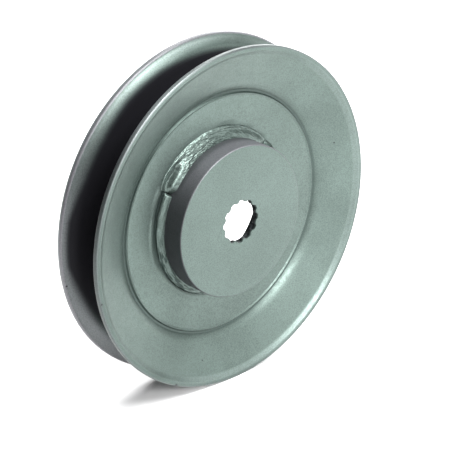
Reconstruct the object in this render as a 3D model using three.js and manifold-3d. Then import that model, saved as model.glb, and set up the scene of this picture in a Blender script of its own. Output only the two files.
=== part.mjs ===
// A welded sheet-steel V-belt pulley with a star-shaped shaft hole.
//
// Two pressed discs stand back to back and leave the belt groove between their rims. A drawn cup,
// the hub, goes through both discs. Its closed face stands in front of the rims and holds the star
// hole, and its mouth opens at the back. Weld beads join the cup to both discs, and six projection
// welds hold the two discs together under the groove.
//
// Units are millimetres. The pulley turns about Y, its hub face looks along -Y, and +Z is up. The
// origin is on the axis, half-way between the rims. Angles run from +X towards +Z.

import * as THREE from 'three';
import { mergeVertices } from 'three/addons/utils/BufferGeometryUtils.js';
import Module from 'manifold-3d';

const wasm = await Module();
wasm.setup();

// ---------------------------------------------------------------- driving dimensions

const GAP = 0.3;                     // left between pieces that touch on the real pulley

const RIM_RADIUS = 73;               // 146 mm over the rims
const RIM_HALF_WIDTH = 12.2;         // groove mid-plane to the outer face of a rim
const SHEET = 3.5;                   // thickness of the pressed discs
const RIM_EDGE = 2.4;                // the sheet is thinned where the rim is flared and trimmed

const WEB_EDGE_RADIUS = 51.4;        // the flat web ends here
const STEP_ANGLE = 35;               // slope of the short ramp round the web, in degrees
const CONE_START_RADIUS = 54.75;     // the ramp meets the flange here
const CONE_ANGLE = 19;               // slope of the flange: half of the groove's angle
const CONE_END_RADIUS = 69.35;       // the flange turns up into its flared lip here
const LIP_RADIUS = 70.95;            // the flat land of the rim starts here
const EDGE_ROUND = 0.8;              // rounding of the rim's two corners

const HUB_RADIUS = 32.6;
const HUB_PROUD = 3.1;               // the hub face stands this far in front of the front rim
const HUB_FACE = 3.0;                // thickness of the cup's face
const HUB_WALL = 3.0;                // thickness of the cup's wall
const HUB_TAIL = 3.6;                // the cup's mouth stands this far behind the rear web
const HUB_CHAMFER = 0.7;
const HUB_INNER_ROUND = 2.0;

const STAR_POINTS = 12;
const STAR_TIP_RADIUS = 8.55;        // to the tips of the teeth, which point inward
const STAR_ROOT_RADIUS = 9.4;
const STAR_TURN = 28;                // angle of one root, in degrees
const STAR_TIP_SHARE = 0.22;         // share of a pitch that a tooth's flat tip takes
const STAR_ROOT_SHARE = 0.3;
const STAR_DEPTH = 2.3;              // the teeth end here, at a plain round hole
const STAR_RELIEF_RADIUS = 9.1;

// Each bead runs between two angles. reach and climb are its legs along the web and along the hub's
// wall, each at the bead's two ends.
const ROUGH_WELD = { from: 50, to: 147.5, reach: [3.4, 7.2], climb: [1.7, 3.2] };
const NEAT_WELD = { from: 148.5, to: 409, reach: [3.4, 3.4], climb: [2.0, 2.0] };
const REAR_WELDS = [
  { from: 5, to: 184, reach: [3.2, 3.2], climb: [2.0, 2.0] },
  { from: 185, to: 364, reach: [3.2, 3.2], climb: [2.0, 2.0] },
];
// A bead's section from the corner outward, as shares of reach and climb.
const BEAD_SECTION = [[0, 0], [1, 0], [0.94, 0.24], [0.68, 0.6], [0.32, 0.88], [0, 1]];

const NUGGET_COUNT = 6;
const NUGGET_CIRCLE = 43;            // radius that the projection welds lie on
const NUGGET_TURN = 30;
const NUGGET_RADIUS = 3;
const NUGGET_HALF = 0.9;             // half of a nugget's thickness
const DIMPLE_RADIUS = 2.6;           // mark that the projection press leaves behind each nugget
const DIMPLE_DEPTH = 0.7;

const ROUND_SEGMENTS = 96;           // facets round the pulley
const WELD_STEP = 5;                 // degrees of bead per facet

const steel = { roughness: 0.38, metalness: 0.55 };
const colours = { sheet: 0x97aca4, hub: 0x95aaa2, weld: 0xb9c6c2 };

// ---------------------------------------------------------------- helpers

const radians = (degrees) => THREE.MathUtils.degToRad(degrees);
const slope = (degrees) => Math.tan(radians(degrees));

function paint(name, geometry, colour, roughness = steel.roughness) {
  const material = new THREE.MeshStandardMaterial({ color: colour, metalness: steel.metalness, roughness });
  const mesh = new THREE.Mesh(geometry, material);
  mesh.name = name;
  return mesh;
}

// Revolves [radius, y] points about Y. The last point joins the first, unless both are on the axis.
function revolve(points, segments = ROUND_SEGMENTS) {
  const outline = points.map(([radius, y]) => new THREE.Vector2(radius, y));
  if (points[0][0] > 0) outline.push(outline[0].clone());
  return new THREE.LatheGeometry(outline, segments);
}

function toSolid(geometry) {
  const bare = geometry.clone();
  bare.deleteAttribute('normal');
  bare.deleteAttribute('uv');
  const merged = mergeVertices(bare, 1e-4);
  const vertProperties = new Float32Array(merged.attributes.position.array);
  const triVerts = new Uint32Array(merged.index.array);
  return new wasm.Manifold(new wasm.Mesh({ numProp: 3, vertProperties, triVerts }));
}

function toGeometry(solid) {
  const { vertProperties, triVerts } = solid.getMesh();
  const geometry = new THREE.BufferGeometry();
  geometry.setAttribute('position', new THREE.BufferAttribute(new Float32Array(vertProperties), 3));
  geometry.setIndex(new THREE.BufferAttribute(new Uint32Array(triVerts), 1));
  geometry.computeVertexNormals();
  return geometry;
}

function cut(geometry, tools) {
  let solid = toSolid(geometry);
  for (const tool of tools) solid = solid.subtract(toSolid(tool));
  return toGeometry(solid);
}

// ---------------------------------------------------------------- sheave halves

const WEB_OUTER = SHEET + GAP / 2;                       // distance of a web's outer face from the mid-plane
const WEB_INNER = GAP / 2;                               // distance of its mating face
const WEB_HOLE_RADIUS = HUB_RADIUS + GAP;

// One pressed disc as [radius, distance from the mid-plane] points, up the outer side from the
// centre hole to the rim, round the rim and back down the groove side.
function sheaveOutline() {
  const stepRise = (CONE_START_RADIUS - WEB_EDGE_RADIUS) * slope(STEP_ANGLE);
  const coneRise = (CONE_END_RADIUS - CONE_START_RADIUS) * slope(CONE_ANGLE);
  const coneStart = WEB_OUTER + stepRise;
  const coneEnd = coneStart + coneRise;

  // The groove side lies one sheet thickness behind the outer side, measured square to it.
  const behind = (radius, y, angle) => [
    radius + SHEET * Math.sin(radians(angle)),
    y - SHEET * Math.cos(radians(angle)),
  ];
  const [rampRadius, rampY] = behind(WEB_EDGE_RADIUS, WEB_OUTER, STEP_ANGLE);
  const [coneRadius, coneY] = behind(CONE_START_RADIUS, coneStart, CONE_ANGLE);
  const rampLine = (radius) => rampY + (radius - rampRadius) * slope(STEP_ANGLE);
  const coneLine = (radius) => coneY + (radius - coneRadius) * slope(CONE_ANGLE);
  const grooveBottom = rampRadius - (rampY - WEB_INNER) / slope(STEP_ANGLE);
  const grooveTurn = (rampLine(0) - coneLine(0)) / (slope(CONE_ANGLE) - slope(STEP_ANGLE));

  const rimBack = RIM_HALF_WIDTH - RIM_EDGE;
  const flareRadius = CONE_END_RADIUS - 0.6;
  const flareTurn = [71.2, rimBack - 0.85];

  return [
    [WEB_HOLE_RADIUS, WEB_OUTER],
    [WEB_EDGE_RADIUS - 1.2, WEB_OUTER],
    [WEB_EDGE_RADIUS + 0.6, WEB_OUTER + 0.35],
    [CONE_START_RADIUS - 0.5, coneStart - 0.4],
    [CONE_START_RADIUS + 0.8, coneStart + 0.8 * slope(CONE_ANGLE)],
    [CONE_END_RADIUS, coneEnd],
    [LIP_RADIUS, RIM_HALF_WIDTH],
    [RIM_RADIUS - EDGE_ROUND, RIM_HALF_WIDTH],
    [RIM_RADIUS - 0.2, RIM_HALF_WIDTH - 0.35],
    [RIM_RADIUS, RIM_HALF_WIDTH - EDGE_ROUND],
    [RIM_RADIUS, rimBack + EDGE_ROUND],
    [RIM_RADIUS - EDGE_ROUND, rimBack],
    flareTurn,
    [flareRadius, coneLine(flareRadius)],
    [grooveTurn, coneLine(grooveTurn)],
    [grooveBottom, WEB_INNER],
    [WEB_HOLE_RADIUS, WEB_INNER],
  ];
}

// A flat lens about a point of the web, used for a weld nugget, its pocket and its dimple.
function lens(index, radius, half, y) {
  const outline = [[0, half], [radius * 0.75, half * 0.65], [radius, 0], [radius * 0.75, -half * 0.65], [0, -half]];
  const geometry = revolve(outline.reverse(), 12);
  const angle = radians(NUGGET_TURN + (360 / NUGGET_COUNT) * index);
  geometry.translate(NUGGET_CIRCLE * Math.cos(angle), y, NUGGET_CIRCLE * Math.sin(angle));
  return geometry;
}

const everyNugget = (make) => Array.from({ length: NUGGET_COUNT }, (_, index) => make(index));
const pockets = () => everyNugget((index) => lens(index, NUGGET_RADIUS + GAP, NUGGET_HALF + GAP, 0));
const dimples = () => everyNugget((index) => lens(index, DIMPLE_RADIUS, DIMPLE_DEPTH, WEB_OUTER));

// side is -1 for the front disc, whose outer face looks along -Y, and 1 for the rear one.
function sheaveHalf(side, tools) {
  const outline = sheaveOutline().map(([radius, distance]) => [radius, side * distance]);
  if (side > 0) outline.reverse();
  return cut(revolve(outline), tools);
}

// ---------------------------------------------------------------- hub

const HUB_FRONT = -(RIM_HALF_WIDTH + HUB_PROUD);
const HUB_BACK = WEB_OUTER + HUB_TAIL;

// The star as a solid along Y, from y to y + depth.
function star(y, depth) {
  const pitch = 360 / STAR_POINTS;
  const outline = new THREE.Shape();
  for (let tooth = 0; tooth < STAR_POINTS; tooth += 1) {
    const corners = [
      [STAR_ROOT_RADIUS, -STAR_ROOT_SHARE / 2],
      [STAR_ROOT_RADIUS, STAR_ROOT_SHARE / 2],
      [STAR_TIP_RADIUS, 0.5 - STAR_TIP_SHARE / 2],
      [STAR_TIP_RADIUS, 0.5 + STAR_TIP_SHARE / 2],
    ];
    corners.forEach(([radius, share], corner) => {
      const angle = radians(STAR_TURN + (tooth + share) * pitch);
      const point = [radius * Math.cos(angle), -radius * Math.sin(angle)];
      if (tooth + corner === 0) outline.moveTo(...point);
      else outline.lineTo(...point);
    });
  }
  const geometry = new THREE.ExtrudeGeometry(outline, { depth, bevelEnabled: false });
  geometry.rotateX(-Math.PI / 2);
  geometry.translate(0, y, 0);
  return geometry;
}

function hub() {
  const inside = HUB_RADIUS - HUB_WALL;
  const floor = HUB_FRONT + HUB_FACE;
  const cup = revolve([
    [0, HUB_FRONT],
    [HUB_RADIUS - HUB_CHAMFER, HUB_FRONT],
    [HUB_RADIUS, HUB_FRONT + HUB_CHAMFER],
    [HUB_RADIUS, HUB_BACK],
    [inside, HUB_BACK],
    [inside, floor + HUB_INNER_ROUND],
    [inside - 0.3 * HUB_INNER_ROUND, floor + 0.3 * HUB_INNER_ROUND],
    [inside - HUB_INNER_ROUND, floor],
    [0, floor],
  ]);
  const relief = revolve([
    [0, HUB_FRONT + STAR_DEPTH],
    [STAR_RELIEF_RADIUS, HUB_FRONT + STAR_DEPTH],
    [STAR_RELIEF_RADIUS, floor + 1],
    [0, floor + 1],
  ], 48);
  return cut(cup, [star(HUB_FRONT - 1, 1 + STAR_DEPTH + 0.01), relief]);
}

// ---------------------------------------------------------------- welds

// A fillet bead in the corner between the hub's wall and a web. side is -1 in front and 1 at the back.
function bead({ from, to, reach, climb }, side) {
  const outline = new THREE.Shape(BEAD_SECTION.map(([along, up]) => new THREE.Vector2(along, side * up)));
  const steps = Math.ceil((to - from) / WELD_STEP);
  const geometry = new THREE.ExtrudeGeometry(outline, { depth: 1, steps, bevelEnabled: false });

  // The straight bar is bent round the hub: its length becomes the angle, its section takes on size.
  const place = geometry.attributes.position;
  for (let index = 0; index < place.count; index += 1) {
    const run = place.getZ(index);
    const radius = HUB_RADIUS + GAP + place.getX(index) * THREE.MathUtils.lerp(...reach, run);
    const y = side * (WEB_OUTER + GAP) + place.getY(index) * THREE.MathUtils.lerp(...climb, run);
    const angle = radians(THREE.MathUtils.lerp(from, to, run));
    place.setXYZ(index, radius * Math.cos(angle), y, radius * Math.sin(angle));
  }
  geometry.computeVertexNormals();
  return geometry;
}

// ---------------------------------------------------------------- assembly

const pulley = new THREE.Group();
pulley.name = 'v_belt_pulley';

pulley.add(
  paint('front_sheave_half', sheaveHalf(-1, pockets()), colours.sheet),
  paint('rear_sheave_half', sheaveHalf(1, [...pockets(), ...dimples()]), colours.sheet),
  paint('star_hub', hub(), colours.hub),
  paint('front_weld_rough', bead(ROUGH_WELD, -1), colours.weld, 0.3),
  paint('front_weld_neat', bead(NEAT_WELD, -1), colours.weld, 0.3),
);

REAR_WELDS.forEach((run, index) => {
  pulley.add(paint(`rear_weld_${index + 1}`, bead(run, 1), colours.weld, 0.3));
});

everyNugget((index) => {
  const nugget = lens(index, NUGGET_RADIUS, NUGGET_HALF, 0);
  pulley.add(paint(`web_projection_weld_${index + 1}`, nugget, colours.weld, 0.6));
});

export default pulley;
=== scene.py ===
"""Looks of a welded sheet-steel V-belt pulley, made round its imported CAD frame.

The pulley turns about Y, its hub face looks along -Y and +Z is up. Angles round it run from +X
towards +Z: seen from the hub face's side, 0 degrees is at the right and 90 degrees at the top.

Every visible CAD solid is stood for by a finer mesh: both pressed discs, the hub cup with its star
hole, and the weld beads with their ripples, lumps and crater. The fused spots between the discs are
hidden inside and stay as they are.
"""

import math

import bpy
import numpy as np
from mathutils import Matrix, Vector, noise


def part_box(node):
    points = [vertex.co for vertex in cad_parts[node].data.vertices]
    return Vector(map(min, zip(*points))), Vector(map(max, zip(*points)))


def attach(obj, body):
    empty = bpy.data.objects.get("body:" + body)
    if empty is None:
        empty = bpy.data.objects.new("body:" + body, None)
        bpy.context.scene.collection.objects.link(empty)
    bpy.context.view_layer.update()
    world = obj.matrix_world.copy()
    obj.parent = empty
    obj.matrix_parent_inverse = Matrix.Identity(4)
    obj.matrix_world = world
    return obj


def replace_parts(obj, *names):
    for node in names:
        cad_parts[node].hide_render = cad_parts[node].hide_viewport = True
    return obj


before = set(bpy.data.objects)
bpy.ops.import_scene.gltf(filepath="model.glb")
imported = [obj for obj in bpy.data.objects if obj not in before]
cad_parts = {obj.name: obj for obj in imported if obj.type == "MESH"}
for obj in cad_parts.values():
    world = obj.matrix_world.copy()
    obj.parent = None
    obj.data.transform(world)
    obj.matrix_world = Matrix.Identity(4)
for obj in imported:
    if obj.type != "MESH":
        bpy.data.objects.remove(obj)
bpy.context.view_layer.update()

# ---------------------------------------------------------------- sizes, in metres

MM = 0.001

front_low, front_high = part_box("front_sheave_half")
hub_low, hub_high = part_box("star_hub")

RIM_RADIUS = front_high.x
RIM_HALF_WIDTH = -front_low.y
SHEET = 3.5 * MM
WEB_FACE = SHEET - front_high.y          # distance of a web's outer face from the mid-plane
MATING_FACE = 0.03 * MM                  # the discs are pressed together: no light shows between them
WEB_HOLE = 32.9 * MM
SHAPED_WEB = 46.0 * MM                   # valleys, ridges and press marks lie inside this radius
CREASE = 52.0 * MM                       # the sharp pressed line where the web turns into the flange
CONE_START = 54.6 * MM
CONE_END = 69.2 * MM
LIP = 70.95 * MM
RIM_EDGE = 2.4 * MM
STEP_ANGLE = math.radians(35)            # the ramp between the web and the flange's cone
CONE_ANGLE = math.radians(19)            # the belt's side of a flange
OUTER_CONE_ANGLE = math.radians(22)

HUB_RADIUS = hub_high.x
HUB_FRONT = hub_low.y
HUB_BACK = hub_high.y
HUB_FACE = 3.0 * MM
HUB_WALL = 3.0 * MM
HUB_ROUND = 0.6 * MM                     # rounding of the hub's outer edges
HUB_INNER_ROUND = 2.0 * MM

STAR_POINTS = 12
STAR_TURN = math.radians(28)
STAR_TIP = 8.55 * MM
STAR_ROOT = 9.4 * MM
STAR_DEPTH = 2.3 * MM
STAR_RELIEF = 9.1 * MM
STAR_EDGE = 0.15 * MM                    # the star's edges are broken by this much
STAR_FLANK = (0.14, 0.42)                # where a tooth's flank runs, in pitches from a root's middle

DIMPLES = 6                              # press marks of the projection welds, on the rear web
DIMPLE_CIRCLE = 43.0 * MM
DIMPLE_TURN = math.radians(30)
DIMPLE_RADIUS = 2.6 * MM
DIMPLE_FLOOR = 0.4 * MM                  # radius of a mark's flat middle
DIMPLE_DEPTH = 0.6 * MM

VALLEY_DEPTH = 0.8 * MM                  # beside the front beads
VALLEY_WIDTH = 0.5 * MM
RIDGE_HEIGHT = 0.6 * MM
RIDGE_WIDTH = 0.45 * MM

BEAD_CORNER = HUB_RADIUS - 0.1 * MM      # a bead's hidden corner, just inside the hub's wall
BEAD_FOOT = -0.6 * MM                    # and just under the web's face

ARC_STEP = math.radians(10)              # longest facet of a fillet
DISC_FACETS = 540                        # round a disc
HUB_FACETS = 60 * STAR_POINTS            # round the hub
DISC_STEP = 1.1 * MM                     # longest facet across a disc
FINE_STEP = 0.4 * MM                     # longest facet across its shaped web
HUB_STEP = 1.5 * MM
BEAD_ROWS = 36                           # points across a bead's skin
BEAD_RINGS = 3                           # per degree of its run


# ---------------------------------------------------------------- mesh helpers

def smoothstep(low, high, value):
    """0 up to low and 1 from high on, with a smooth rise between them."""
    share = np.clip((value - low) / (high - low), 0.0, 1.0)
    return share * share * (3 - 2 * share)


def window(value, rise, fall):
    """1 between two soft edges, else 0. rise and fall hold where each edge starts and ends."""
    return smoothstep(*rise, value) * (1 - smoothstep(*fall, value))


def bell(value, centre, width):
    """A smooth hump: 1 at the centre and near 0 two widths away."""
    return np.exp(-((value - centre) / width) ** 2)


def strongest(*shares):
    """The largest of several shares, point by point."""
    return np.maximum.reduce(np.broadcast_arrays(*shares))


def in_degrees(angle):
    """The angle in degrees, from 0 to 360."""
    return np.degrees(angle) % 360


def rounded(corners):
    """A closed outline through (radius, y, fillet) corners, each corner turned into an arc."""
    outline = []
    for index, (radius, y, fillet) in enumerate(corners):
        here = Vector((radius, y))
        if fillet == 0:
            outline.append(here)
            continue
        back = (Vector(corners[index - 1][:2]) - here).normalized()
        on = (Vector(corners[(index + 1) % len(corners)][:2]) - here).normalized()
        turn = math.pi - back.angle(on)
        centre = here + (back + on).normalized() * fillet / math.cos(turn / 2)
        spoke = here + back * fillet * math.tan(turn / 2) - centre
        sign = 1 if back.x * on.y - back.y * on.x < 0 else -1
        steps = max(2, math.ceil(turn / ARC_STEP))
        for step in range(steps + 1):
            angle = sign * turn * step / steps
            cos, sin = math.cos(angle), math.sin(angle)
            outline.append(centre + Vector((spoke.x * cos - spoke.y * sin, spoke.x * sin + spoke.y * cos)))
    return outline


def spread(outline, longest, fine_radius=0.0):
    """The closed outline with its long stretches divided, more finely inside fine_radius."""
    points = []
    for index, here in enumerate(outline):
        on = outline[(index + 1) % len(outline)]
        step = FINE_STEP if max(here.x, on.x) <= fine_radius else longest
        steps = max(1, math.ceil((on - here).length / step))
        points += [here.lerp(on, share / steps) for share in range(steps)]
    return np.array([tuple(point) for point in points])


def new_object(name, vertices, faces, material, marks):
    """A new mesh object. marks gives each vertex's share of some of four marks, for the coat.

    Two marks are painted shade: one turns the coat near black and matt, the other dark green. One
    gives bare metal on worn and turned surfaces, with painted light on part of the front rim, and
    one is a painted highlight of bright metal.
    """
    mesh = bpy.data.meshes.new(name)
    mesh.from_pydata(vertices.tolist(), [], faces)
    mesh.polygons.foreach_set("use_smooth", [True] * len(mesh.polygons))
    mesh.materials.append(material)
    for kind, shares in marks.items():
        values = np.ravel(shares).astype(float)
        mesh.attributes.new(kind, "FLOAT", "POINT").data.foreach_set("value", values)
    piece = bpy.data.objects.new(name, mesh)
    bpy.context.scene.collection.objects.link(piece)
    even = piece.modifiers.new("Even normals", "WEIGHTED_NORMAL")
    even.weight = 60                     # 50 treats large and small faces alike
    return piece


def grid_faces(rows, columns, wrap_columns):
    """Quads over a grid of rows that close on themselves; columns wrap if the sweep is a full ring."""
    faces = []
    for column in range(columns if wrap_columns else columns - 1):
        on = (column + 1) % columns
        for row in range(rows):
            up = (row + 1) % rows
            faces.append((column * rows + row, column * rows + up, on * rows + up, on * rows + row))
    return faces


def facing_out(outline):
    """The outline turned so that grid_faces looks outward."""
    radius, y = outline[:, 0], outline[:, 1]
    area = np.sum(radius * np.roll(y, -1) - np.roll(radius, -1) * y)
    return outline if area > 0 else outline[::-1]


def revolve(name, outline, material, marks_of, shape, facets):
    """Sweeps the closed outline of (radius, y) round Y.

    shape(radius, y, angle) gives the new pair, and marks_of(radius, y, angle) the marks there.
    """
    outline = facing_out(outline)
    angle = np.linspace(0, 2 * math.pi, facets, endpoint=False)[:, None]
    radius = np.broadcast_to(outline[:, 0], (facets, len(outline)))
    y = np.broadcast_to(outline[:, 1], (facets, len(outline)))
    radius, y = shape(radius, y, angle)
    marks = {kind: shares + 0 * radius for kind, shares in marks_of(radius, y, angle).items()}
    points = np.stack([radius * np.cos(angle), y + 0 * angle, radius * np.sin(angle)], axis=-1)
    faces = grid_faces(len(outline), facets, True)
    return new_object(name, points.reshape(-1, 3), faces, material, marks)


# ---------------------------------------------------------------- materials

BARE_METAL_AND_PAINTED_LIGHT = (0.150, 0.150, 0.164, 1)        # bare metal of turned and worn surfaces; also painted light on the front rim at the upper left
BARE_METAL_AND_PAINTED_LIGHT_METALLIC = 0.25
PAINTED_HIGHLIGHT_TONE = (0.42, 0.50, 0.48, 1)         # painted highlight: a bright metal tone where the lamps' highlights fall on the rims and lips
PAINTED_SHADE_AND_CHIP = (0.0100, 0.0100, 0.0128, 1)       # painted shade, near black: in the belt groove, the shaft hole and other shaded places; also the colour of chips in the coat
PAINTED_SHADE_ROUGHNESS = 0.7
PAINTED_SHADE_GLOSS = 0.2
GLOSS = 0.5                              # specular level of the coat where no shade is painted
GREEN_PAINTED_SHADE = (0.012, 0.022, 0.019, 1)       # painted shade, dark green: in the crease, beside the beads, on the hub's wall and in the beads' hollows
FLECK = (0.55, 0.55, 0.55, 1)            # the coat's tone is multiplied by this in a fleck

# Noise cells per metre: soft clouds of tone, specks, the coat's fine grain, and tiny dark flecks.
CLOUDS = 45
SPECKS = 520
GRAIN = 1500
FLECKS = 2300

# Chips in the discs' coat: degrees, radius in millimetres, and size in millimetres.
CHIPS = [(15, 62.0, 0.45), (256, 62.8, 0.4), (243, 72.5, 0.8), (192, 72.3, 0.55), (99, 58.5, 0.3)]


def feed(tree, socket, value):
    """Links the value into the socket if another node gives it, else sets the socket to it."""
    if isinstance(value, bpy.types.NodeSocket):
        tree.links.new(value, socket)
    else:
        socket.default_value = value


def node(tree, kind, **inputs):
    """A new shader node. Inputs are named by their labels, with _ for a space."""
    made = tree.nodes.new(kind)
    for label, value in inputs.items():
        feed(tree, made.inputs[label.replace("_", " ")], value)
    return made


def math_node(tree, kind, operation, first, second):
    """A new math or vector math node that works on two values."""
    made = tree.nodes.new(kind)
    made.operation = operation
    feed(tree, made.inputs[0], first)
    feed(tree, made.inputs[1], second)
    return made


def noise_of(tree, place, scale, detail, roughness=0.5):
    """Noise from 0 to 1, mostly near 0.5."""
    return node(tree, "ShaderNodeTexNoise", Vector=place, Scale=scale, Detail=detail,
                Roughness=roughness).outputs["Fac"]


def spread_of(tree, value, low, high, to_low, to_high):
    """The value's range from low to high stretched to a new range, and held at its ends."""
    return node(tree, "ShaderNodeMapRange", Value=value, From_Min=low, From_Max=high,
                To_Min=to_low, To_Max=to_high).outputs["Result"]


def blended(tree, share, first, second, kind="MIX"):
    """The first colour with a share of the second mixed in."""
    mix = tree.nodes.new("ShaderNodeMix")
    mix.data_type = "RGBA"
    mix.blend_type = kind
    feed(tree, mix.inputs["Factor"], share)
    feed(tree, mix.inputs["A"], first)
    feed(tree, mix.inputs["B"], second)
    return mix.outputs["Result"]


def mark(tree, name):
    """The share of one of the marks that new_object puts on a mesh."""
    made = tree.nodes.new("ShaderNodeAttribute")
    made.attribute_name = name
    return made.outputs["Fac"]


def chips(tree, place):
    """1 on the small dark chips in a disc's coat, else 0."""
    flat = math_node(tree, "ShaderNodeVectorMath", "MULTIPLY", place, (1, 0, 1)).outputs["Vector"]
    share = 0.0
    for degrees, radius, size in CHIPS:
        angle = math.radians(degrees)
        centre = Vector((radius * math.cos(angle), 0, radius * math.sin(angle))) * MM
        away = math_node(tree, "ShaderNodeVectorMath", "DISTANCE", flat, centre).outputs["Value"]
        chip = spread_of(tree, away, 0.5 * size * MM, size * MM, 1.0, 0.0)
        share = math_node(tree, "ShaderNodeMath", "MAXIMUM", share, chip).outputs["Value"]
    return share


def coat(name, light, dark, satin, metallic, grain_height, chipped=False):
    """A satin metallic coat over steel: fine grain, dark flecks, soft clouds of tone, worn places, and
    painted shade and painted highlights where a mesh's marks put them.

    light and dark are its tones, and satin holds its lowest and highest roughness.
    """
    material = bpy.data.materials.new(name)
    material.use_nodes = True
    tree = material.node_tree
    tree.nodes.clear()
    place = node(tree, "ShaderNodeTexCoord").outputs["Object"]
    clouds = noise_of(tree, place, CLOUDS, detail=3)
    grain = noise_of(tree, place, GRAIN, detail=2, roughness=0.6)
    specks = noise_of(tree, place, SPECKS, detail=2, roughness=0.6)
    flecks = noise_of(tree, place, FLECKS, detail=1)
    wear_and_painted_light, painted_highlight, green_painted_shade, matt_painted_shade = (mark(tree, kind) for kind in ("wear_and_painted_light", "painted_highlight", "green_painted_shade", "matt_painted_shade"))

    # Each noise is stretched from its usual range to the share of the tone that it brings in.
    tone = blended(tree, spread_of(tree, clouds, 0.35, 0.65, 0, 1), dark, light)
    tone = blended(tree, spread_of(tree, specks, 0.3, 0.7, 0.0, 0.35), tone, dark)
    # Bare metal on worn edges and the turned hub wall, with painted light on part of the front rim.
    tone = blended(tree, wear_and_painted_light, tone, BARE_METAL_AND_PAINTED_LIGHT)
    # Painted highlights: a bright metal tone.
    tone = blended(tree, painted_highlight, tone, PAINTED_HIGHLIGHT_TONE)
    tone = blended(tree, spread_of(tree, flecks, 0.38, 0.72, 0.0, 0.75), tone, FLECK, "MULTIPLY")
    # Painted shade, dark green.
    tone = blended(tree, green_painted_shade, tone, GREEN_PAINTED_SHADE)
    # Painted shade: the coat turns near black and matt.
    tone = blended(tree, matt_painted_shade, tone, PAINTED_SHADE_AND_CHIP)
    if chipped:
        tone = blended(tree, chips(tree, place), tone, PAINTED_SHADE_AND_CHIP)

    roughness = spread_of(tree, specks, 0.3, 0.7, *satin)
    roughness = spread_of(tree, matt_painted_shade, 0, 1, roughness, PAINTED_SHADE_ROUGHNESS)
    gloss = spread_of(tree, matt_painted_shade, 0, 1, GLOSS, PAINTED_SHADE_GLOSS)
    shine = spread_of(tree, wear_and_painted_light, 0, 1, metallic, BARE_METAL_AND_PAINTED_LIGHT_METALLIC)
    bump = node(tree, "ShaderNodeBump", Height=grain, Strength=1.0, Distance=grain_height)
    surface = node(tree, "ShaderNodeBsdfPrincipled", Base_Color=tone, Roughness=roughness,
                   Metallic=shine, Specular_IOR_Level=gloss, Normal=bump.outputs["Normal"])
    node(tree, "ShaderNodeOutputMaterial", Surface=surface.outputs["BSDF"])
    return material


SHEET_COAT = coat("sheet_coat", light=(0.093, 0.126, 0.114, 1), dark=(0.074, 0.101, 0.091, 1),
                  satin=(0.34, 0.44), metallic=0.7, grain_height=0.025 * MM, chipped=True)
HUB_COAT = coat("hub_coat", light=(0.089, 0.121, 0.110, 1), dark=(0.076, 0.104, 0.094, 1),
                satin=(0.32, 0.42), metallic=0.7, grain_height=0.025 * MM)
WELD_COAT = coat("weld_coat", light=(0.125, 0.163, 0.149, 1), dark=(0.080, 0.108, 0.098, 1),
                 satin=(0.30, 0.42), metallic=0.8, grain_height=0.008 * MM)


# ---------------------------------------------------------------- pressed discs

# Centres of the valley and the ridge beside the front beads, as (degrees, radius in millimetres).
VALLEY = [(30, 34.2), (50, 36.3), (75, 38.0), (95, 39.0), (142, 40.0), (150, 36.3), (180, 36.1),
          (205, 35.9), (240, 35.6)]
RIDGE = [(150, 38.6), (170, 37.6), (190, 37.1), (205, 36.8), (235, 36.4)]

# Painted shade down in the belt groove, as (degrees, radius where it starts to thin out, radius
# where it ends), in millimetres. It climbs highest on the left, away from the lamps.
GROOVE_PAINTED_SHADE = [
    (80, 65.5, 68.5),
    (95, 65.8, 68.8),
    (110, 66.8, 70.3),
    (125, 67.6, 71.3),
    (140, 66.4, 71.6),
    (155, 67.2, 71.6),
    (170, 70.0, 72.2),
    (185, 70.0, 72.2),
    (200, 66.0, 71.8),
    (215, 64.0, 69.5),
    (230, 63.0, 69.0),
]


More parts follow.
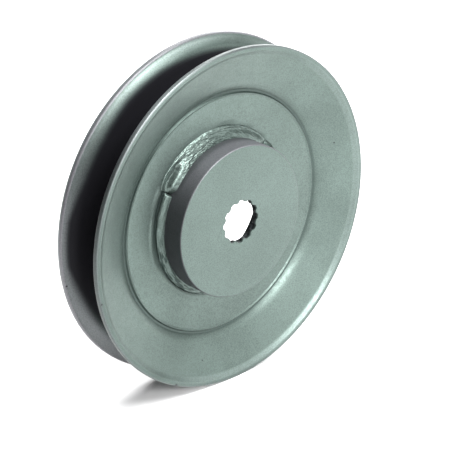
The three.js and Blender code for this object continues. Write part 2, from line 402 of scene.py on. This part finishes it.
def disc_outline():
    """One pressed disc as (radius, distance from the mid-plane, fillet) corners.

    Round the web runs a low lip and a narrow pressed crease. The flange rises from the crease on a
    short ramp, bends over into a cone that flattens outward, and ends in a rolled lip.
    """
    cone, step = math.tan(CONE_ANGLE), math.tan(STEP_ANGLE)
    cone_end = RIM_HALF_WIDTH - (LIP - CONE_END) * step
    cone_start = cone_end - (CONE_END - CONE_START) * math.tan(OUTER_CONE_ANGLE)

    def groove_side(radius, distance, angle):
        """The point a sheet's thickness behind a point of the outer side."""
        return radius + SHEET * math.sin(angle), distance - SHEET * math.cos(angle)

    # The groove's side runs a sheet's thickness behind the outer side, in two straight stretches
    # that cross at the radius turn.
    cone_at, cone_y = groove_side(CONE_END, cone_end, CONE_ANGLE)
    ramp_at, ramp_y = groove_side(CONE_START, cone_start, STEP_ANGLE)
    cone_zero, ramp_zero = cone_y - cone_at * cone, ramp_y - ramp_at * step
    turn = (ramp_zero - cone_zero) / (cone - step)
    flare = CONE_END - 0.6 * MM
    back = RIM_HALF_WIDTH - RIM_EDGE
    return rounded([
        (WEB_HOLE, WEB_FACE, 0.3 * MM),
        (SHAPED_WEB, WEB_FACE, 0),
        (CREASE - 1.75 * MM, WEB_FACE, 0.3 * MM),                 # the low lip rises
        (CREASE - 0.95 * MM, WEB_FACE + 0.5 * MM, 0.2 * MM),      # and falls
        (CREASE - 0.35 * MM, WEB_FACE - 0.25 * MM, 0.15 * MM),    # into the crease
        (CREASE + 0.5 * MM, WEB_FACE - 0.15 * MM, 0.3 * MM),
        (CONE_START, cone_start, 12.0 * MM),
        (CONE_END, cone_end, 5.0 * MM),
        (LIP, RIM_HALF_WIDTH, 0.9 * MM),
        (RIM_RADIUS, RIM_HALF_WIDTH, 0.5 * MM),
        (RIM_RADIUS, back, 1.0 * MM),
        (RIM_RADIUS - 1.0 * MM, back - 0.1 * MM, 0.4 * MM),
        (flare, cone_zero + flare * cone, 4.5 * MM),
        (turn, cone_zero + turn * cone, 3.0 * MM),
        ((MATING_FACE - ramp_zero) / step, MATING_FACE, 0.6 * MM),
        (WEB_HOLE, MATING_FACE, 0.3 * MM),
    ])


def on_web_face(distance):
    """1 on a web's outer face, else 0. distance is measured from the mid-plane, outward."""
    return smoothstep(WEB_FACE - 0.4 * MM, WEB_FACE - 0.1 * MM, distance)


def beside_beads(angle):
    """How deep the web's valley is along the front beads' toe, 0 to 1, and its radius there.

    It is full along the neat bead, half as deep along the rough bead's thin end, faint beside its
    wide end and gone at the lower right.
    """
    degrees = in_degrees(angle)
    along = window(degrees, rise=(30, 50), fall=(232, 262))
    along = along * (0.5 + 0.5 * smoothstep(142, 150, degrees))
    along = along * (1 - 0.6 * window(degrees, rise=(92, 98), fall=(142, 150)))
    return along, np.interp(degrees, *zip(*VALLEY)) * MM


def undercut(radius, y, angle):
    """The front web round the beads: a valley along their toe and a low ridge outside it."""
    degrees = in_degrees(angle)
    along, valley_at = beside_beads(angle)
    valley = along * bell(radius, valley_at, VALLEY_WIDTH)
    ridged = window(degrees, rise=(145, 152), fall=(232, 262))
    ridge_at = np.interp(degrees, *zip(*RIDGE)) * MM
    ridge = ridged * bell(radius, ridge_at, RIDGE_WIDTH)
    return radius, y + on_web_face(-y) * (VALLEY_DEPTH * valley - RIDGE_HEIGHT * ridge)


def dimpled(radius, y, angle):
    """The rear web's outer face with a shallow press mark behind each projection weld."""
    pitch = 2 * math.pi / DIMPLES
    nearest = np.round((angle - DIMPLE_TURN) / pitch) * pitch + DIMPLE_TURN
    away = np.hypot(radius * np.cos(angle) - DIMPLE_CIRCLE * np.cos(nearest),
                    radius * np.sin(angle) - DIMPLE_CIRCLE * np.sin(nearest))
    pressed = 1 - smoothstep(DIMPLE_FLOOR, DIMPLE_RADIUS, away)
    return radius, y - on_web_face(y) * DIMPLE_DEPTH * pressed


def painted_shade_places(radius, degrees, front, in_groove, rim):
    """Painted shade as dark matt coat: down in the belt groove, a painted dark reflection of the hub's
    wall in the web at the upper left, on the top of both rims, and on the front flange's land at the left.
    """
    stations, full, end = zip(*GROOVE_PAINTED_SHADE)
    shade_full = np.interp(degrees, stations, full, period=360) * MM
    shade_end = np.interp(degrees, stations, end, period=360) * MM
    groove = in_groove * (1 - smoothstep(shade_full, shade_end, radius))
    # Painted reflection: the hub's dark wall mirrored in the web at the upper left.
    beside_hub = 0.3 * bell(degrees, 140, 28) * (1 - smoothstep(HUB_RADIUS + 5.4 * MM, CREASE, radius))
    beside_hub = beside_hub * (1 - in_groove) * front
    # Painted shade that dims the lamps' glare on the top of both rims, and on the front land at the left.
    rim_top = 0.55 * rim * bell(degrees, 88, 16)
    land = 0.28 * bell(degrees, 175, 25) * smoothstep(LIP - 0.15 * MM, LIP + 0.55 * MM, radius) * front
    return strongest(groove, beside_hub, rim_top, land)


def painted_line_shade(radius, angle, front, in_groove):
    """Painted shade in the crease round the web, lighter at the lower right, and in the valley beside
    the front beads.
    """
    crease = window(radius, rise=(CREASE - 1.05 * MM, CREASE - 0.75 * MM),
                    fall=(CREASE + 0.3 * MM, CREASE + 1.6 * MM))
    crease = crease * (1 - in_groove) * (0.68 - 0.12 * np.cos(angle - math.radians(305)))
    along, valley_at = beside_beads(angle)
    valley = 0.95 * along * (1 - smoothstep(valley_at + 0.1 * MM, valley_at + 0.5 * MM, radius)) * front
    return strongest(crease, valley)


def worn_and_painted_light_places(radius, angle, front, in_groove, rim):
    """Bare metal on the rims' worn edges, with painted light on the front rim at the upper left, and the
    same tone on the rear flange's lip, less towards the top.
    """
    # Painted light: the front rim's bare-metal tone is stronger at the upper left, where the lamps leave
    # it dark.
    front_rim = rim * (0.3 + 0.5 * bell(in_degrees(angle), 128, 18))
    below_top = 1 - smoothstep(0.1, 0.85, np.sin(angle))
    rear_lip = 0.6 * below_top * in_groove * smoothstep(CONE_END - 3.2 * MM, CONE_END - 1.2 * MM, radius)
    return np.where(front, front_rim, strongest(rim, rear_lip))


def painted_highlight_places(radius, y, angle, front, in_groove, rim):
    """Painted highlights as a bright metal tone at the top and the upper left: both rims' edges and the
    rear flange's lip.

    The front flange's lip gets a little painted highlight at the lower right.
    """
    degrees = in_degrees(angle)
    front_edge = 0.3 * rim * bell(degrees, 122, 18)
    front_lip = window(radius, rise=(CONE_END - 0.6 * MM, CONE_END + 0.2 * MM),
                       fall=(LIP + 0.05 * MM, LIP + 0.85 * MM))
    lower_right = smoothstep(-0.1, 0.3, np.cos(angle - math.radians(330)))
    front_lip = 0.1 * front_lip * (1 - in_groove) * lower_right

    rear_lip = 0.07 * smoothstep(CONE_END - 0.7 * MM, CONE_END + 1.3 * MM, radius)
    rear_lip = rear_lip + 0.18 * bell(radius, LIP + 0.25 * MM, 0.6 * MM)
    rear_lip = rear_lip * window(degrees, rise=(62, 90), fall=(115, 160)) * strongest(in_groove, rim)
    rear_edge = rim * smoothstep(RIM_HALF_WIDTH - 1.0 * MM, RIM_HALF_WIDTH - 0.6 * MM, y)
    rear_edge = 0.6 * rear_edge * window(degrees, rise=(100, 120), fall=(165, 200))
    return np.where(front, strongest(front_edge, front_lip), strongest(rear_lip, rear_edge))


def disc_marks(radius, y, angle):
    """Where a disc gets painted shade, bare-metal tone with some painted light, and painted highlights.

    A point of the flange that lies behind mid_sheet is on the belt groove's side of the sheet.
    """
    front = y < 0
    mid_sheet = RIM_HALF_WIDTH - (LIP - radius) * math.tan(CONE_ANGLE) - 0.65 * SHEET
    in_groove = smoothstep(0, -0.6 * MM, np.abs(y) - mid_sheet)
    in_groove = in_groove * smoothstep(CREASE - 4 * MM, CREASE, radius)
    rim = smoothstep(RIM_RADIUS - 1.1 * MM, RIM_RADIUS - 0.3 * MM, radius)
    return {
        "matt_painted_shade": painted_shade_places(radius, in_degrees(angle), front, in_groove, rim),
        "green_painted_shade": painted_line_shade(radius, angle, front, in_groove),
        "wear_and_painted_light": worn_and_painted_light_places(radius, angle, front, in_groove, rim),
        "painted_highlight": painted_highlight_places(radius, y, angle, front, in_groove, rim),
    }


def pressed_disc(name, side, shape):
    """One disc. side is -1 for the front one and 1 for the rear one."""
    outline = spread(disc_outline(), DISC_STEP, fine_radius=SHAPED_WEB)
    outline[:, 1] *= side
    piece = revolve(name, outline, SHEET_COAT, disc_marks, shape, DISC_FACETS)
    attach(piece, "root")
    return piece


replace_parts(pressed_disc("front_disc", -1, undercut), "front_sheave_half")
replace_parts(pressed_disc("rear_disc", 1, dimpled), "rear_sheave_half")


# ---------------------------------------------------------------- hub

HUB_INSIDE = HUB_RADIUS - HUB_WALL
HUB_FLOOR = HUB_FRONT + HUB_FACE         # inner side of the cup's closed face
STAR_END = HUB_FRONT + STAR_DEPTH


def hub_outline():
    """The hub cup as (radius, y, fillet) corners, with its shaft hole at the star's tips."""
    star_ring = STAR_ROOT + 1.2 * MM
    return rounded([
        (STAR_TIP + STAR_EDGE, HUB_FRONT, 0),
        (star_ring, HUB_FRONT, 0),
        (HUB_RADIUS, HUB_FRONT, HUB_ROUND),
        (HUB_RADIUS, HUB_BACK, HUB_ROUND),
        (HUB_INSIDE, HUB_BACK, 0.5 * MM),
        (HUB_INSIDE, HUB_FLOOR, HUB_INNER_ROUND),
        (star_ring, HUB_FLOOR, 0),
        (STAR_RELIEF + STAR_EDGE, HUB_FLOOR, 0),
        (STAR_RELIEF, HUB_FLOOR - STAR_EDGE, 0),
        (STAR_RELIEF, STAR_END, 0),
        (STAR_TIP, STAR_END, 0),
        (STAR_TIP, HUB_FRONT + STAR_EDGE, 0),
    ])


def star_radius(angle):
    """The star hole's radius: 12 rounded points between blunt teeth."""
    phase = (angle - STAR_TURN) * STAR_POINTS / (2 * math.pi)
    from_root = np.abs(phase - np.round(phase))
    return STAR_ROOT - (STAR_ROOT - STAR_TIP) * smoothstep(*STAR_FLANK, from_root)


def starred(radius, y, angle):
    """Moves the shaft hole's wall out from the tips' circle to the star."""
    in_star = (radius < STAR_TIP + 1.1 * STAR_EDGE) & (y < STAR_END + 0.01 * MM)
    return radius + in_star * (star_radius(angle) - STAR_TIP), y


def hub_marks(radius, y, angle):
    """Painted shade as dark matt coat in the shaft hole and the cup, and as dark green on the turned
    wall away from the top and near the web.
    """
    bore = 1 - smoothstep(STAR_ROOT + 0.1 * MM, STAR_ROOT + 0.6 * MM, radius)
    bore = bore * smoothstep(0.05 * MM, 0.6 * MM, y - HUB_FRONT)
    cup = 1 - smoothstep(HUB_INSIDE + 0.2 * MM, HUB_INSIDE + 0.8 * MM, radius)
    cup = cup * smoothstep(HUB_FLOOR - 1 * MM, HUB_FLOOR, y)
    turned = smoothstep(HUB_RADIUS - 0.5 * MM, HUB_RADIUS - 0.1 * MM, radius)
    # Painted shade: darker away from the top and near the web.
    below_top = 0.8 - 0.6 * smoothstep(0.3, 0.9, np.sin(angle))
    near_web = 0.7 * smoothstep(HUB_FRONT + 4 * MM, -WEB_FACE - 3 * MM, y)
    shaded = turned * strongest(below_top, near_web)
    return {
        "matt_painted_shade": strongest(0.9 * bore, 0.5 * cup, 0.55 * shaded),
        "green_painted_shade": 0.75 * shaded,
        "wear_and_painted_light": turned,
    }


def hub_cup():
    """The hub, from its face in front to its mouth at the back."""
    outline = spread(hub_outline(), HUB_STEP)
    piece = revolve("hub_cup", outline, HUB_COAT, hub_marks, starred, HUB_FACETS)
    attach(piece, "root")
    return piece


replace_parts(hub_cup(), "star_hub")


# ---------------------------------------------------------------- welds

# A bead's section runs from its toe on the web to its top on the hub's wall through a few controls.
# Each control is given along the run as (degrees, radius, rise above the web), in millimetres.

ROUGH_SECTION = [
    # toe
    [(50, 35.8, -0.1), (75, 37.6, -0.1), (100, 38.9, -0.1), (120, 39.5, -0.1), (140, 39.9, -0.1),
     (149, 39.0, -0.1)],
    # outer crest
    [(50, 35.5, 0.1), (75, 37.1, 0.35), (100, 38.1, 0.6), (120, 38.7, 0.6), (140, 39.4, 0.35),
     (149, 38.5, 0.3)],
    # seam, which drops into the crater
    [(50, 35.2, 0.2), (80, 36.2, 0.2), (100, 36.7, 0.95), (120, 37.0, 1.05), (129, 37.2, 0.6),
     (133, 37.0, -0.3), (140, 36.8, -0.1), (149, 36.6, 0.2)],
    # inner crest
    [(50, 34.3, 0.9), (90, 34.8, 1.3), (120, 34.9, 1.6), (135, 35.4, 1.9), (143, 35.3, 1.8),
     (149, 34.9, 1.5)],
    # shoulder
    [(50, 33.4, 1.3), (90, 33.6, 1.7), (120, 33.6, 1.9), (135, 33.7, 2.6), (149, 33.6, 2.3)],
    # top
    [(50, 32.5, 1.5), (90, 32.5, 1.9), (120, 32.5, 2.1), (135, 32.5, 3.0), (149, 32.5, 2.7)],
]
NEAT_SECTION = [
    # toe
    [(148, 35.8, -0.6), (200, 35.6, -0.6), (240, 35.4, -0.3), (409, 35.8, -0.1)],
    # outer side
    [(148, 35.7, 0.35), (240, 35.2, 0.4), (409, 35.3, 0.4)],
    # crown
    [(148, 35.1, 0.95), (240, 34.6, 0.95), (409, 34.6, 0.95)],
    # shoulder
    [(148, 33.9, 1.45), (240, 33.6, 1.45), (409, 33.6, 1.4)],
    # top
    [(148, 32.5, 1.85), (240, 32.5, 1.8), (409, 32.5, 1.75)],
]

# How strong the relief is along each run, as (degrees, share).
ROUGH_STRENGTH = [(50, 0.25), (85, 0.6), (100, 1.0), (126, 1.0), (134, 0.25), (148, 0.35)]
NEAT_STRENGTH = [(148, 0.25), (178, 0.3), (192, 1.0), (235, 1.0), (260, 0.7), (409, 0.7)]


def controls_at(section, degrees):
    """The section's control points at one angle, in metres."""
    points = []
    for control in section:
        stations, radii, rises = zip(*control)
        points.append((np.interp(degrees, stations, radii), np.interp(degrees, stations, rises)))
    return np.array(points) * MM


def smooth_curve(controls, count):
    """count points on a Catmull-Rom curve through the controls."""
    padded = np.vstack([2 * controls[0] - controls[1], controls, 2 * controls[-1] - controls[-2]])
    curve = []
    for position in np.linspace(0, len(controls) - 1, count):
        span = min(int(position), len(controls) - 2)
        t = position - span
        a, b, c, d = padded[span:span + 4]
        curve.append(0.5 * (2 * b + (c - a) * t + (2 * a - 5 * b + 4 * c - d) * t ** 2
                            + (3 * b - 3 * c + d - a) * t ** 3))
    return np.array(curve)


def outward(curve):
    """Unit normals of a section curve that runs from the web up to the wall, away from the corner."""
    along = np.gradient(curve, axis=0)
    normal = np.stack([along[:, 1], -along[:, 0]], axis=1)
    return normal / np.linalg.norm(normal, axis=1)[:, None]


def noise_at(x, y, size_x, size_y, seed):
    """Smooth noise from about -1 to 1, whose lumps measure size_x by size_y."""
    return noise.noise(Vector((x / size_x + seed, y / size_y - seed, seed * 0.7)))


def rough_relief(degrees, share, arc, across):
    """Lumps and crossing ripples of the hand-laid run, in metres, and the painted shade of their hollows.
    """
    strength = np.interp(degrees, *zip(*ROUGH_STRENGTH))
    slanted = arc + 0.9 * across
    lumps = noise_at(slanted, across, 1.5 * MM, 0.7 * MM, seed=3)
    pits = 1 - 2 * abs(noise_at(slanted, across, 1.0 * MM, 0.6 * MM, seed=9))
    hollow_shade = smoothstep(0.0, 0.45, -noise_at(slanted, across, 1.9 * MM, 0.5 * MM, seed=14))
    fade = math.sin(math.pi * share ** 0.8) ** 0.35
    height = strength * fade * (0.27 * lumps + 0.12 * pits) * MM
    return height, 0.55 * strength * hollow_shade


def neat_relief(degrees, share, arc, across):
    """Long wavy ripples that come and go along the machine-laid run, and painted shade in their hollows.
    """
    strength = np.interp(degrees, *zip(*NEAT_STRENGTH))
    slanted = arc + 1.2 * across
    ripple = noise_at(slanted, across, 2.8 * MM, 0.55 * MM, seed=5)
    lumps = noise_at(arc - 0.6 * across, across, 1.1 * MM, 1.2 * MM, seed=21)
    hollow_shade = smoothstep(0.0, 0.18, -noise_at(slanted, across, 3.2 * MM, 0.5 * MM, seed=31))
    fade = math.sin(math.pi * share) ** 0.5
    height = strength * fade * (0.24 * ripple + 0.07 * lumps) * MM
    return height, 0.85 * strength * hollow_shade


def bead_ring(section, degrees, swell, relief):
    """A bead's skin at one angle as (radius, rise) points, and the painted shade on each one.

    swell goes from 0 at a run's blunt end to 1 along the run. relief(degrees, share of the way
    across, distance along, distance across) gives the height and the painted shade of the surface.
    """
    corner = np.array([BEAD_CORNER, 0.0])
    curve = smooth_curve(controls_at(section, degrees), BEAD_ROWS)
    curve = corner + (curve - corner) * [0.85 + 0.15 * swell, 0.1 + 0.9 * swell]
    across = np.concatenate([[0], np.cumsum(np.linalg.norm(np.diff(curve, axis=0), axis=1))])
    arc = math.radians(degrees) * HUB_RADIUS
    shares = [row / (BEAD_ROWS - 1) for row in range(BEAD_ROWS)]
    formed = np.array([relief(degrees, share, arc, so_far) for share, so_far in zip(shares, across)])
    return curve + outward(curve) * formed[:, :1] * swell, formed[:, 1]


def bead(name, side, section, start, stop, relief, blunts=(1.6, 1.6)):
    """A closed bead in the corner between the hub's wall and a web, from start to stop in degrees.

    side is -1 on the front web and 1 on the rear one. blunts gives the degrees over which the two
    ends swell up.
    """
    rings = int((stop - start) * BEAD_RINGS) + 1
    vertices, hollow_shades = [], []
    for degrees in np.linspace(start, stop, rings):
        from_end = min((degrees - start) / blunts[0], (stop - degrees) / blunts[1], 1.0)
        skin, shades = bead_ring(section, degrees, math.sin(0.5 * math.pi * from_end), relief)
        angle = math.radians(degrees)
        for radius, rise in [(BEAD_CORNER, BEAD_FOOT), *map(tuple, skin)]:
            vertices.append((radius * math.cos(angle), side * (WEB_FACE + rise), radius * math.sin(angle)))
        hollow_shades += [0.0, *shades]
    ring_size = BEAD_ROWS + 1
    faces = grid_faces(ring_size, rings, False)
    last = (rings - 1) * ring_size
    faces.append(tuple(reversed(range(ring_size))))
    faces.append(tuple(last + row for row in range(ring_size)))
    if side < 0:
        faces = [tuple(reversed(face)) for face in faces]
    # The hollows' painted shade goes into the dark green shade mark.
    piece = new_object(name, np.array(vertices), faces, WELD_COAT, {"green_painted_shade": hollow_shades})
    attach(piece, "root")
    return piece


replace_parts(bead("front_bead_rough", -1, ROUGH_SECTION, 48, 149, rough_relief, blunts=(7, 5)),
            "front_weld_rough")
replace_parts(bead("front_bead_neat", -1, NEAT_SECTION, 149.4, 407.4, neat_relief, blunts=(1.6, 9)),
            "front_weld_neat")
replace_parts(bead("rear_bead_1", 1, NEAT_SECTION, 5, 184, neat_relief), "rear_weld_1")
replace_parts(bead("rear_bead_2", 1, NEAT_SECTION, 185, 364, neat_relief), "rear_weld_2")


# ---------------------------------------------------------------- hidden weld nuggets

for name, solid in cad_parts.items():
    if name.startswith("web_projection_weld"):
        solid.data.materials.clear()
        solid.data.materials.append(WELD_COAT)


# ---------------------------------------------------------------- floor, light and camera

FLOOR_SIZE = 6                           # metres
BACKDROP_RADIUS = 1.25                   # outside the lamps and the camera

CAMERA_AZIMUTH = -41.98                  # degrees
CAMERA_ELEVATION = 24.14
CAMERA_DISTANCE = 11.72 * RIM_RADIUS
CAMERA_LENS = 165.9                      # millimetres, on a sensor 36 mm wide
CAMERA_SHIFT = (0.0223, -0.0347)


def plain(name, colour, roughness):
    """A material of one colour."""
    material = bpy.data.materials.new(name)
    material.use_nodes = True
    surface = material.node_tree.nodes["Principled BSDF"]
    surface.inputs["Base Color"].default_value = colour
    surface.inputs["Roughness"].default_value = roughness
    return material


def add_floor():
    """A plain pale floor that the rims stand on."""
    bpy.ops.mesh.primitive_plane_add(size=FLOOR_SIZE, location=(0, 0, -RIM_RADIUS))
    floor = bpy.context.object
    floor.name = "floor"
    floor.data.materials.append(plain("floor", (0.9, 0.9, 0.9, 1), 0.9))


def add_backdrop():
    """A plain pale wall all round that only the camera sees, so it throws no light on the pulley."""
    bpy.ops.mesh.primitive_uv_sphere_add(segments=64, ring_count=32, radius=BACKDROP_RADIUS)
    backdrop = bpy.context.object
    backdrop.name = "backdrop"
    backdrop.visible_diffuse = False
    backdrop.visible_glossy = False
    backdrop.visible_transmission = False
    backdrop.visible_volume_scatter = False
    backdrop.visible_shadow = False
    material = bpy.data.materials.new("backdrop")
    material.use_nodes = True
    tree = material.node_tree
    tree.nodes.clear()
    glow = node(tree, "ShaderNodeEmission", Color=(0.95, 0.95, 0.95, 1), Strength=1.0)
    node(tree, "ShaderNodeOutputMaterial", Surface=glow.outputs["Emission"])
    backdrop.data.materials.append(material)


def towards(azimuth, elevation):
    """A unit vector. Azimuth 0 is the hub face's side, -Y, and 90 is +X."""
    azimuth, elevation = math.radians(azimuth), math.radians(elevation)
    return Vector((math.sin(azimuth) * math.cos(elevation), -math.cos(azimuth) * math.cos(elevation),
                   math.sin(elevation)))


def aim(thing, way, distance):
    """Puts a lamp or a camera at a distance from the pulley's centre and turns it to face there."""
    thing.location = way * distance
    thing.rotation_mode = "QUATERNION"
    thing.rotation_quaternion = way.to_track_quat("Z", "Y")
    bpy.context.scene.collection.objects.link(thing)


def add_light(name, azimuth, elevation, distance, size, power):
    """A round soft lamp. Its place is in degrees and metres, its size in metres, its power in watts."""
    data = bpy.data.lights.new(name, "AREA")
    data.shape = "DISK"
    data.size = size
    data.energy = power
    aim(bpy.data.objects.new(name, data), towards(azimuth, elevation), distance)


def add_dark_world():
    """The world gives no light: the lamps do it all."""
    world = bpy.data.worlds.new("studio")
    world.use_nodes = True
    background = world.node_tree.nodes["Background"]
    background.inputs["Color"].default_value = (1, 1, 1, 1)
    background.inputs["Strength"].default_value = 0.0
    bpy.context.scene.world = world


def add_camera():
    """A long lens that looks at the hub face from the left and a little above."""
    data = bpy.data.cameras.new("camera")
    data.sensor_width = 36
    data.lens = CAMERA_LENS
    data.shift_x, data.shift_y = CAMERA_SHIFT
    camera = bpy.data.objects.new("camera", data)
    aim(camera, towards(CAMERA_AZIMUTH, CAMERA_ELEVATION), CAMERA_DISTANCE)
    bpy.context.scene.camera = camera


add_floor()
add_backdrop()
add_light("key", azimuth=0, elevation=20, distance=0.9, size=0.35, power=8.8)
add_light("front_low", azimuth=5, elevation=8, distance=0.9, size=0.45, power=1.6)
add_light("front_right", azimuth=42, elevation=14, distance=0.7, size=0.4, power=1.4)
add_light("front_top", azimuth=0, elevation=58, distance=0.9, size=0.5, power=11.5)
add_light("right_top", azimuth=60, elevation=60, distance=0.9, size=0.5, power=6.7)
add_light("right_low", azimuth=95, elevation=10, distance=0.9, size=0.5, power=2.6)
add_light("rear_right", azimuth=126, elevation=35, distance=1.0, size=0.6, power=20.0)
add_dark_world()
add_camera()
bpy.context.scene.view_settings.view_transform = "Standard"
